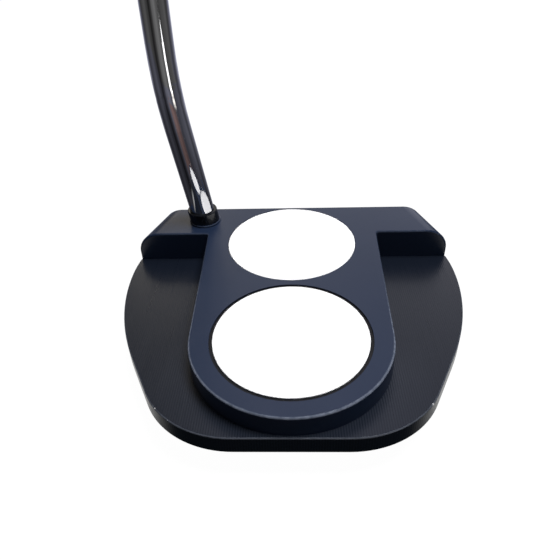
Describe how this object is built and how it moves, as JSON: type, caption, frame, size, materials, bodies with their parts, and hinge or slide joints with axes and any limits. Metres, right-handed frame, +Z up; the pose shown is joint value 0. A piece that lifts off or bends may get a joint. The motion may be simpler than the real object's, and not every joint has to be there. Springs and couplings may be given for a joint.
{
  "type": "mallet putter",
  "caption": "Mallet putter with two round alignment discs on a raised deck, milled wings, a double-bend shaft, screw-in sole weights and a flat-front grip.",
  "frame": {"origin": "on the flat of the sole, under the middle of the head", "axes": "+X towards the toe, +Y towards the target, +Z up; the shaft leans towards the heel, -X"},
  "size_m": [0.3651, 0.1129, 0.8153],
  "materials": {
    "body_paint": "satin dark blue paint",
    "wing_black": "black anodised, fine milling lines",
    "screw_black": "blackened",
    "sole_cover": "black anodised, brushed",
    "gasket_rubber": "matt",
    "disc_white": "satin",
    "pad_foam": "matt",
    "bezel_black": "matt",
    "insert_metal": "bead blasted",
    "bond_tape": "matt",
    "backer_polymer": "smooth",
    "weight_steel": "turned",
    "washer_steel": "plain",
    "shaft_chrome": "polished",
    "epoxy": "cured",
    "plug_cork": "matt",
    "ferrule_black": "polished",
    "grip_rubber": "matt, textured",
    "cap_rubber": "matt"
  },
  "bodies": {
    "putter": {"head_body": "body_paint", "wing_plate": "wing_black", "wing_screws": "screw_black", "sole_plate": "sole_cover", "sole_gasket": "gasket_rubber", "sole_screws": "screw_black", "front_disc": "disc_white", "rear_disc": "disc_white", "front_disc_pad": "pad_foam", "rear_disc_pad": "pad_foam", "rear_disc_bezel": "bezel_black", "face_insert": "insert_metal", "insert_tape": "bond_tape", "insert_backer": "backer_polymer", "shaft": "shaft_chrome", "shaft_bond": "epoxy", "shaft_plug": "plug_cork", "ferrule": "ferrule_black", "grip": "grip_rubber", "grip_tape": "bond_tape", "grip_cap": "cap_rubber"},
    "heel_washer_body": {"heel_weight_washer": "washer_steel"},
    "heel_weight_body": {"heel_weight": "weight_steel"},
    "toe_washer_body": {"toe_weight_washer": "washer_steel"},
    "toe_weight_body": {"toe_weight": "weight_steel"}
  },
  "joints": [
    {"name": "heel_weight_lift", "type": "slide", "parent": "putter", "child": "heel_washer_body", "axis": [0, 0, -1], "range_m": [0, 0.0075]},
    {"name": "heel_weight_turn", "type": "hinge", "parent": "heel_washer_body", "child": "heel_weight_body", "pos_m": [-0.0395, 0.0362, 0.003], "axis": [0, 0, -1], "range_deg": [0, 1801]},
    {"name": "toe_weight_lift", "type": "slide", "parent": "putter", "child": "toe_washer_body", "axis": [0, 0, -1], "range_m": [0, 0.0075]},
    {"name": "toe_weight_turn", "type": "hinge", "parent": "toe_washer_body", "child": "toe_weight_body", "pos_m": [0.0395, 0.0362, 0.003], "axis": [0, 0, -1], "range_deg": [0, 1801]}
  ],
  "couplings": [
    {"joint": "heel_weight_turn", "follows": "heel_weight_lift", "rad_per_m": 4188.8},
    {"joint": "toe_weight_turn", "follows": "toe_weight_lift", "rad_per_m": 4188.8}
  ]
}
